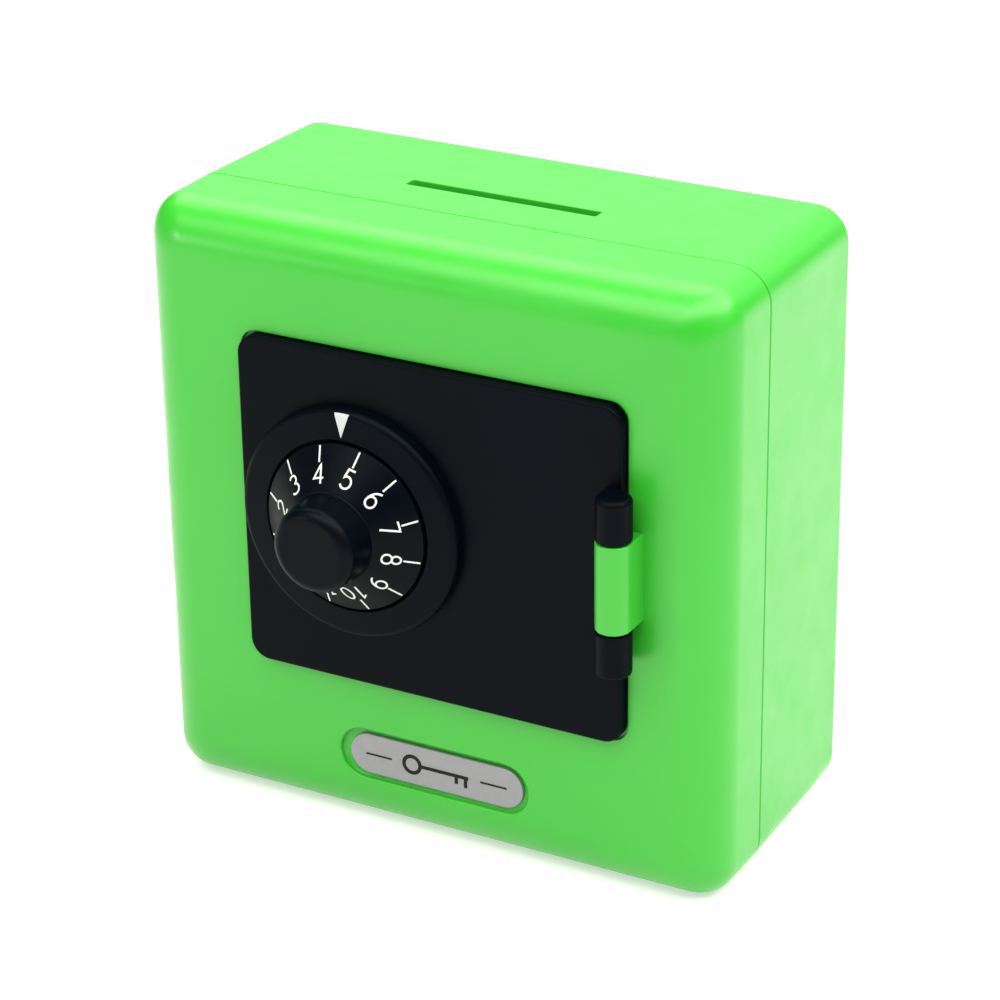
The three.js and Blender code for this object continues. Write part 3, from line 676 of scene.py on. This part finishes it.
def make_dial_marks():
    body = Body()
    for number in range(1, NUMBERS + 1):
        place_at = on_skirt(number)
        ribbon(body, split([(0.0, TICK_START), (0.0, TICK_END)]), TICK_STROKE, place_at, DIAL_RISE)
        text = str(number)
        width = (DIGIT_WIDTH + DIGIT_ADVANCE * (len(text) - 1)) * DIGIT_HEIGHT
        for order, digit in enumerate(text):
            shift = DIGIT_ADVANCE * DIGIT_HEIGHT * order - width / 2
            for layer, line in enumerate(DIGITS[digit]):
                moved = [(shift + x * DIGIT_HEIGHT, DIGIT_TOP - (1 - y) * DIGIT_HEIGHT) for x, y in line]
                ribbon(body, split(moved), DIGIT_STROKE, place_at, DIAL_RISE + DIAL_LAYER * layer)
    body.piece("dial_numbers", white_print, "dial", "dial", sharp=60)


# ---- Door ----

def ring_height(radius):
    """The front of the ring around the dial, at a radius from the dial's axis."""
    flat_end = RING_RADIUS - RING_EDGE[0]
    if radius <= flat_end:
        share = (radius - RING_BORE) / (flat_end - RING_BORE)
        return RING_CREST + (RING_SHOULDER - RING_CREST) * share
    across = min(1.0, (radius - flat_end) / RING_EDGE[0])
    return RING_SHOULDER - RING_EDGE[1] * (1 - math.sqrt(1 - across * across))


def notched_door(inset=0.0):
    """The door's outline with its notch for the case's knuckle."""
    low, high = KNUCKLE_BOTTOM - KNUCKLE_GAP, KNUCKLE_TOP + KNUCKLE_GAP
    left = HINGE_X - BARREL_RADIUS - KNUCKLE_GAP
    corners = [(DOOR_RIGHT, DOOR_BOTTOM, DOOR_CORNER), (DOOR_RIGHT, low, NOTCH_MOUTH),
               (left, low, NOTCH_CORNER), (left, high, NOTCH_CORNER),
               (DOOR_RIGHT, high, NOTCH_MOUTH), (DOOR_RIGHT, DOOR_TOP, DOOR_CORNER),
               (DOOR_LEFT, DOOR_TOP, DOOR_CORNER), (DOOR_LEFT, DOOR_BOTTOM, DOOR_CORNER)]
    return rounded(corners, inset)


def door_barrel(body, z0, z1, bore_end, edges):
    """A barrel rooted in the plate, with a bore for the pin that runs up from its lower end."""
    root = FRONT_Y - DOOR_PROUD + ROOT_DEPTH
    back = math.acos((DOOR_RIGHT - HINGE_X) / BARREL_RADIUS)
    low_edge, high_edge = edges

    def outline(inset):
        size = BARREL_RADIUS - inset
        sweep = [math.pi + (math.pi + back) * step / 48 for step in range(49)]
        arc_points = [(HINGE_X + size * math.cos(a), HINGE_Y + size * math.sin(a)) for a in sweep]
        return [*arc_points, (DOOR_RIGHT - inset, root), (HINGE_X - BARREL_RADIUS + inset, root)]

    low = [at_z(outline(inset), z0 + depth) for depth, inset in round_over(low_edge, 6)]
    high = [at_z(outline(inset), z1 - depth) for depth, inset in round_over(high_edge, 6)]
    first, last = body.sweep([*low, *high[::-1]])
    mouth = [at_z(circle(HINGE_X, HINGE_Y, BORE_RADIUS + inset, HINGE_SIDES), z0 + depth)
             for depth, inset in round_over(BORE_EDGE, 3)]
    bore = at_z(circle(HINGE_X, HINGE_Y, BORE_RADIUS, HINGE_SIDES), bore_end)
    hole, end = body.sweep([*mouth, bore])
    body.cover(first, hole)
    if bore_end < z1:
        body.cover(end)
        body.cover(last)
    else:
        body.cover(last, end)


BARREL_INNER_EDGE = 0.25  # beside the middle knuckle
LOW_BARREL_EDGE, TOP_BARREL_EDGE = 0.5, 1.0


def make_door():
    body = Body()
    front = FRONT_Y - DOOR_PROUD
    back = FRONT_Y + DOOR_SUNK
    loops = [at_y(notched_door(inset), front + depth) for depth, inset in round_over(DOOR_FRONT_EDGE, 6)]
    loops += [at_y(notched_door(inset), back - depth)
              for depth, inset in reversed(list(round_over(DOOR_BACK_EDGE, 3)))]
    face, rear = body.sweep(loops)
    bore = SPINDLE_RADIUS + SPINDLE_GAP
    post = FRONT_Y - POST_END
    tube = [(bore, front), (bore, post), (POST_RADIUS - POST_EDGE, post), (POST_RADIUS, post - POST_EDGE),
            (POST_RADIUS, back)]
    first, last = body.sweep([at_y(circle(DIAL_X, DIAL_Z, radius, 64), y) for radius, y in tube])
    body.cover(face, first)
    body.cover(rear, last)

    rim_points = [(RING_BORE, RING_ROOT), (RING_RADIUS, RING_ROOT)]
    rim_points += [(RING_RADIUS - RING_EDGE[0] * (1 - math.cos(a)),
                    RING_SHOULDER - RING_EDGE[1] * (1 - math.sin(a))) for a in turns(0, 90, 16)]
    rim_points += [(RING_BORE + RING_LIP * (1 - math.sin(a)), RING_CREST - RING_LIP * (1 - math.cos(a)))
                   for a in turns(0, 90, 5)]
    body.ring(rim_points, count=192)

    pillar = [(EAR_RADIUS, -ROOT_DEPTH), (EAR_RADIUS, PILLAR_END + PILLAR_EDGE),
              (EAR_RADIUS - PILLAR_EDGE, PILLAR_END), (EAR_HOLE, PILLAR_END), (EAR_HOLE, PILLAR_HOLE_END)]
    for x, z in ear_places():
        body.turn(pillar, x, z, 40)
    low_top, high_bottom = KNUCKLE_BOTTOM - KNUCKLE_GAP, KNUCKLE_TOP + KNUCKLE_GAP
    low_end, top_end = low_top - BARREL_LENGTH, high_bottom + BARREL_LENGTH
    door_barrel(body, low_end, low_top, low_top, (LOW_BARREL_EDGE, BARREL_INNER_EDGE))
    door_barrel(body, high_bottom, top_end, top_end - BARREL_CAP, (BARREL_INNER_EDGE, TOP_BARREL_EDGE))
    body.piece("door_moulding", black_plastic, "door", "door", ["door"])


INDEX_SHIFT = 0.45  # of the index to the left of the dial's axis
INDEX_START, INDEX_LENGTH, INDEX_HALF = 22.3, 4.6, 1.5
INDEX_TIP_HALF = 0.04
INDEX_RISE = 0.06
INDEX_STEPS = 12


def make_index_mark():
    """The printed wedge on the ring that the dial is read against."""
    rows = []
    for step in range(INDEX_STEPS + 1):
        radius = INDEX_START - INDEX_LENGTH * step / INDEX_STEPS
        half = INDEX_HALF * (1 - step / INDEX_STEPS) + INDEX_TIP_HALF
        rows.append([(radius, (half * across - INDEX_SHIFT) / radius) for across in (-1, -1 / 3, 1 / 3, 1)])

    def on_ring(radius, angle, rise):
        front_at = ring_height(radius) + rise
        return DIAL_X + radius * math.sin(angle), FRONT_Y - front_at, DIAL_Z + radius * math.cos(angle)

    mark = Body()
    grids = [[[mark.bm.verts.new(on_ring(radius, angle, rise)) for radius, angle in row] for row in rows]
             for rise in (-SUNK, INDEX_RISE)]
    for grid in grids:
        for a, b in zip(grid, grid[1:]):
            for i in range(len(a) - 1):
                mark.bm.faces.new((a[i], a[i + 1], b[i + 1], b[i]))
    rims = []
    for grid in grids:
        right, left = [row[-1] for row in grid[1:]], [row[0] for row in grid[-2:0:-1]]
        rims.append([*grid[0], *right, *grid[-1][-2::-1], *left])
    mark.strip(*rims)
    mark.piece("index_mark", index_print, "door", "door")


def ear_places():
    """The middles of the lock cover's ears and of the door's pillars behind them."""
    return [(DIAL_X + EAR_CIRCLE * math.cos(math.radians(a)), DIAL_Z + EAR_CIRCLE * math.sin(math.radians(a)))
            for a in EAR_ANGLES]


def make_hinge_pin():
    bottom = KNUCKLE_BOTTOM - KNUCKLE_GAP - BARREL_LENGTH + PIN_START
    top = KNUCKLE_TOP + KNUCKLE_GAP + BARREL_LENGTH - PIN_END
    body = Body()
    body.solid(hinge_rings(PIN_RADIUS, PIN_EDGE, bottom, top, 4))
    body.piece("hinge_pin_rod", steel, "door", "steel", ["hinge_pin"])


# ---- Dial ----

def make_dial():
    hub_front = SKIRT_TOP - SKIRT_WALL
    profile = [(SPINDLE_RADIUS - SPINDLE_EDGE, SPINDLE_END), (SPINDLE_RADIUS, SPINDLE_END + SPINDLE_EDGE),
               (SPINDLE_RADIUS, HUB_BACK), (HUB_RADIUS, HUB_BACK), (HUB_RADIUS, hub_front),
               (KNOB_RADIUS, hub_front), (SKIRT_RADIUS - SKIRT_WALL, SKIRT_BACK),
               (SKIRT_RADIUS - SKIRT_LIP, SKIRT_BACK), (SKIRT_RADIUS, SKIRT_BACK + SKIRT_LIP),
               (SKIRT_RADIUS, SKIRT_FRONT)]
    profile += [(SKIRT_RADIUS - SKIRT_EDGE * (1 - math.cos(a)), SKIRT_FRONT + SKIRT_EDGE * math.sin(a))
                for a in turns(15, 75, 4)]
    profile += [tuple(SKIRT_START), tuple(SKIRT_END)]
    profile += [(KNOB_ROOT + KNOB_FILLET * (1 - math.sin(a)), SKIRT_TOP + KNOB_FILLET * (1 - math.cos(a)))
                for a in turns(15, 90, 6)]
    profile += [(KNOB_RADIUS - KNOB_ROUND * (1 - math.cos(a)), KNOB_FRONT - KNOB_ROUND * (1 - math.sin(a)))
                for a in turns(0, 90, 12)]
    body = Body()
    body.turn(profile, DIAL_X, DIAL_Z, 160)
    body.piece("dial_knob", dial_plastic, "dial", "dial", ["dial"], sharp=28)


# ---- Lock cover ----

def cover_ear(body, degrees):
    """One of the cover's ears, with its screw hole, from inside the cover's wall outwards."""
    turn = math.radians(degrees)
    start = COVER_RADIUS - COVER_WALL + EAR_ROOT
    tip = [(EAR_CIRCLE + EAR_RADIUS * math.cos(a), EAR_RADIUS * math.sin(a)) for a in turns(-90, 90, 20)]
    outline = [(start, -EAR_RADIUS), *tip, (start, EAR_RADIUS)]
    hole = circle(EAR_CIRCLE, 0, EAR_HOLE, 32)

    def at(points, front):
        return [(DIAL_X + u * math.cos(turn) - v * math.sin(turn), FRONT_Y - front,
                 DIAL_Z + u * math.sin(turn) + v * math.cos(turn)) for u, v in points]

    near, far = body.sweep([at(outline, EAR_FRONT), at(outline, EAR_BACK)])
    near_hole, far_hole = body.sweep([at(hole, EAR_FRONT), at(hole, EAR_BACK)])
    body.cover(near, near_hole)
    body.cover(far, far_hole)


def make_lock_cover():
    """The cup over the wheels, open at its left where the case's tab reaches in."""
    body = Body()
    inner = COVER_RADIUS - COVER_WALL
    floor = COVER_BACK + COVER_WALL

    def open_arc(radius, front):
        reach = math.pi - math.asin(COVER_SLOT_HALF / radius)
        angles = [-reach + 2 * reach * k / COVER_STEPS for k in range(COVER_STEPS + 1)]
        return [(DIAL_X + radius * math.cos(a), FRONT_Y - front, DIAL_Z + radius * math.sin(a))
                for a in angles]

    outer = [open_arc(COVER_RADIUS, COVER_FRONT), open_arc(COVER_RADIUS, floor)]
    outer += [open_arc(COVER_RADIUS - inset, COVER_BACK + depth)
              for depth, inset in reversed(list(round_over(COVER_EDGE, 6)))]
    outer = [body.loop(points) for points in outer]
    bore = [body.loop(open_arc(inner, COVER_FRONT)), body.loop(open_arc(inner, floor))]
    for rows in (outer, bore, [outer[0], bore[0]]):
        for a, b in zip(rows, rows[1:]):
            body.strip(a, b, [COVER_STEPS])
    corners = [body.loop([(DIAL_X + COVER_SLOT_X, FRONT_Y - front, DIAL_Z + side)
                          for side in (COVER_SLOT_HALF, -COVER_SLOT_HALF)])
               for front in (floor, COVER_BACK)]
    body.cover([*bore[1], *corners[0]])
    body.cover([*outer[-1], *corners[1]])
    body.bm.faces.new((corners[0][0], corners[0][1], corners[1][1], corners[1][0]))
    for end, corner in ((-1, 0), (0, 1)):
        body.bm.faces.new((outer[0][end], outer[1][end], bore[1][end], bore[0][end]))
        wall = [row[end] for row in outer[1:]]
        body.bm.faces.new([*wall, corners[1][corner], corners[0][corner], bore[1][end]])
    for degrees in EAR_ANGLES:
        cover_ear(body, degrees)
    body.piece("lock_housing", black_plastic, "door", "door", ["lock_cover"])


# ---- Screws ----

CASE_SCREW = {"shank": 1.35, "length": 14.0, "head": 2.8, "height": 2.0}
COVER_SCREW = {"shank": 1.0, "length": 6.1, "head": 2.1, "height": 1.4}
SPINDLE_SCREW = {"shank": 0.9, "length": 5.6, "head": 2.6, "height": 1.5}
CASE_SCREW_Y = LEDGE_Y + 0.3
COVER_SCREW_Y = FRONT_Y + 5.9
SPINDLE_SCREW_Y = FRONT_Y + 14.2
SCREW_SIDES = 48
HEAD_EDGE = 0.1
HEAD_ROUND, DOME_ROUND = 0.28, 0.58  # shares of the head's radius and height
THREAD_START, THREAD_PITCH = 0.6, 0.9
THREAD_ROOT = 0.76  # share of the shank's radius
TIP_SHARE, TIP_RADIUS = 0.7, 0.05
CROSS_REACH, CROSS_HALF = 0.52, 0.27  # share of the head's radius, and millimetres
CROSS_NARROWING, CROSS_FLOOR = 0.7, 0.4


def make_screw(name, node, body_name, place, kind):
    """A pan-head screw along Y with a cross recess; the place is the underside of its head."""
    x, y, z = place
    shank, length, head, height = kind["shank"], kind["length"], kind["head"], kind["height"]
    profile = [(head * (1 - HEAD_ROUND + HEAD_ROUND * math.cos(a)),
                height * (1 - DOME_ROUND + DOME_ROUND * math.sin(a))) for a in turns(90, 0, 8)]
    profile += [(head, HEAD_EDGE), (head - HEAD_EDGE, 0.0), (shank, 0.0), (shank, -THREAD_START)]
    depth = THREAD_START + THREAD_PITCH
    while depth < length:
        profile += [(shank * THREAD_ROOT, -depth + THREAD_PITCH * 0.6), (shank, -depth + THREAD_PITCH * 0.3)]
        depth += THREAD_PITCH
    profile += [(shank * TIP_SHARE, -length), (TIP_RADIUS, -length - shank * TIP_SHARE)]
    body = Body()
    first, last = body.sweep([at_y(circle(x, z, radius, SCREW_SIDES), y + h) for radius, h in profile])
    body.cover(last)
    reach, half = head * CROSS_REACH, CROSS_HALF
    plus = [(half, -half), (reach, -half), (reach, half), (half, half), (half, reach), (-half, reach),
            (-half, half), (-reach, half), (-reach, -half), (-half, -half), (-half, -reach), (half, -reach)]
    wide = [(x + u, z + v) for u, v in plus]
    narrow = [(x + u * CROSS_NARROWING, z + v * CROSS_NARROWING) for u, v in plus]
    mouth, floor = body.sweep([at_y(wide, y + height), at_y(narrow, y + height * CROSS_FLOOR)])
    body.cover(first, mouth)
    body.cover(floor)
    body.piece(name, steel, body_name, "steel", [node])


def make_screws():
    for i, (x, z) in enumerate(CASE_SCREWS, 1):
        make_screw(f"case_screw_{i}_fine", f"case_screw_{i}", "case", (x, CASE_SCREW_Y, z), CASE_SCREW)
    for i, (x, z) in enumerate(ear_places(), 1):
        make_screw(f"cover_screw_{i}_fine", f"cover_screw_{i}", "door", (x, COVER_SCREW_Y, z), COVER_SCREW)
    spindle_place = (DIAL_X, SPINDLE_SCREW_Y, DIAL_Z)
    make_screw("spindle_screw_fine", "spindle_screw", "dial", spindle_place, SPINDLE_SCREW)


# ---- Stage ----

# The camera as solved from the photo: angles in radians, lengths in widths of the case.
CAMERA_AZIMUTH, CAMERA_ELEVATION, CAMERA_ROLL = 0.501882868, 0.434571612, -0.0144994425
CAMERA_DISTANCE, CAMERA_RIGHT, CAMERA_UP = 5.35379840, 0.00150556843, -0.00242640481
LENS_SHARE = 3.36998839  # the lens as a share of the sensor
SENSOR_WIDTH = 36.0


def make_camera():
    level = math.cos(CAMERA_ELEVATION)
    back = Vector((math.sin(CAMERA_AZIMUTH) * level, -math.cos(CAMERA_AZIMUTH) * level,
                   math.sin(CAMERA_ELEVATION)))
    level_right = Vector((math.cos(CAMERA_AZIMUTH), math.sin(CAMERA_AZIMUTH), 0))
    level_up = back.cross(level_right)
    cosine, sine = math.cos(CAMERA_ROLL), math.sin(CAMERA_ROLL)
    right = level_right * cosine + level_up * sine
    up = level_up * cosine - level_right * sine
    width = 2 * HALF_WIDTH * MM
    spot = (back * CAMERA_DISTANCE + right * CAMERA_RIGHT + up * CAMERA_UP) * width
    spot += Vector((0, 0, CASE_HEIGHT / 2 * MM))
    data = bpy.data.cameras.new("camera")
    data.sensor_width = SENSOR_WIDTH
    data.lens = SENSOR_WIDTH * LENS_SHARE
    data.clip_start, data.clip_end = 0.01, 20.0
    camera = bpy.data.objects.new("camera", data)
    camera.matrix_world = Matrix.Translation(spot) @ Matrix((right, up, back)).transposed().to_4x4()
    bpy.context.scene.collection.objects.link(camera)
    bpy.context.scene.camera = camera


FLOOR_HALF = 6.0  # metres, as is all that follows about the stage
FLOOR_DROP = 0.0002
WORLD_STRENGTH = 0.12
CASE_MIDDLE = (0, 0, 0.06)
WARM, WHITE = (1.0, 1.0, 0.86), (1.0, 1.0, 1.0)
# Place, target, size along the light's own X and Y, watts and colour.
LIGHTS = {
    "overhead": ((0.1, 0.5, 1.0), (0.1, 0.5, 0.06), (2.2, 0.8), 24.0, WARM),
    "front_above": ((0.25, -0.37, 1.05), CASE_MIDDLE, (2.3, 0.85), 33.0, WARM),
    "front_left": ((-0.85, -1.0, 0.35), CASE_MIDDLE, (0.25, 0.25), 2.5, WHITE),
    "right": ((0.9, -0.1, 0.35), CASE_MIDDLE, (0.6, 0.6), 0.6, WHITE),
    "behind": ((-0.25, 1.4, 0.8), CASE_MIDDLE, (2.6, 1.2), 10.0, WHITE),
}


def area_light(name, spot, target, size, power, colour):
    data = bpy.data.lights.new(name, "AREA")
    data.shape = "RECTANGLE"
    data.size, data.size_y = size
    data.energy = power
    data.color = colour
    lamp = bpy.data.objects.new(name, data)
    lamp.location = spot
    lamp.rotation_mode = "QUATERNION"
    lamp.rotation_quaternion = (Vector(spot) - Vector(target)).to_track_quat("Z", "Y")
    bpy.context.scene.collection.objects.link(lamp)


def make_stage():
    mesh = bpy.data.meshes.new("floor")
    corners = [(FLOOR_HALF * x, FLOOR_HALF * y, 0) for x, y in ((-1, -1), (1, -1), (1, 1), (-1, 1))]
    mesh.from_pydata(corners, [], [(0, 1, 2, 3)])
    floor = bpy.data.objects.new("floor", mesh)
    nodes = Nodes("floor_white")
    nodes.set(Base_Color=(0.6, 0.6, 0.6, 1), Roughness=0.9)
    nodes.set(Emission_Color=(1, 1, 1, 1), Emission_Strength=0.5)
    mesh.materials.append(nodes.material)
    bpy.context.scene.collection.objects.link(floor)
    floor.location.z = -FLOOR_DROP
    world = bpy.data.worlds.new("studio")
    world.use_nodes = True
    background = world.node_tree.nodes["Background"]
    background.inputs["Color"].default_value = (1, 1, 1, 1)
    background.inputs["Strength"].default_value = WORLD_STRENGTH
    bpy.context.scene.world = world
    for name, (spot, target, size, power, colour) in LIGHTS.items():
        area_light(name, spot, target, size, power, colour)
    bpy.context.scene.view_settings.view_transform = "Standard"


def dress(material, *nodes):
    """Gives a material to CAD solids that are shown as they are."""
    for node in nodes:
        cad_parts[node].material_slots[0].material = material


make_front_frame()
make_rear_shell()
make_label()
make_door()
make_index_mark()
make_hinge_pin()
make_dial()
make_dial_marks()
make_lock_cover()
make_screws()
dress(grey_plastic, "combination_wheel_1", "combination_wheel_2", "drive_cam")
dress(black_plastic, "spacer_ring_1", "spacer_ring_2")
dress(steel, "friction_washer", "spindle_washer")
make_camera()
make_stage()
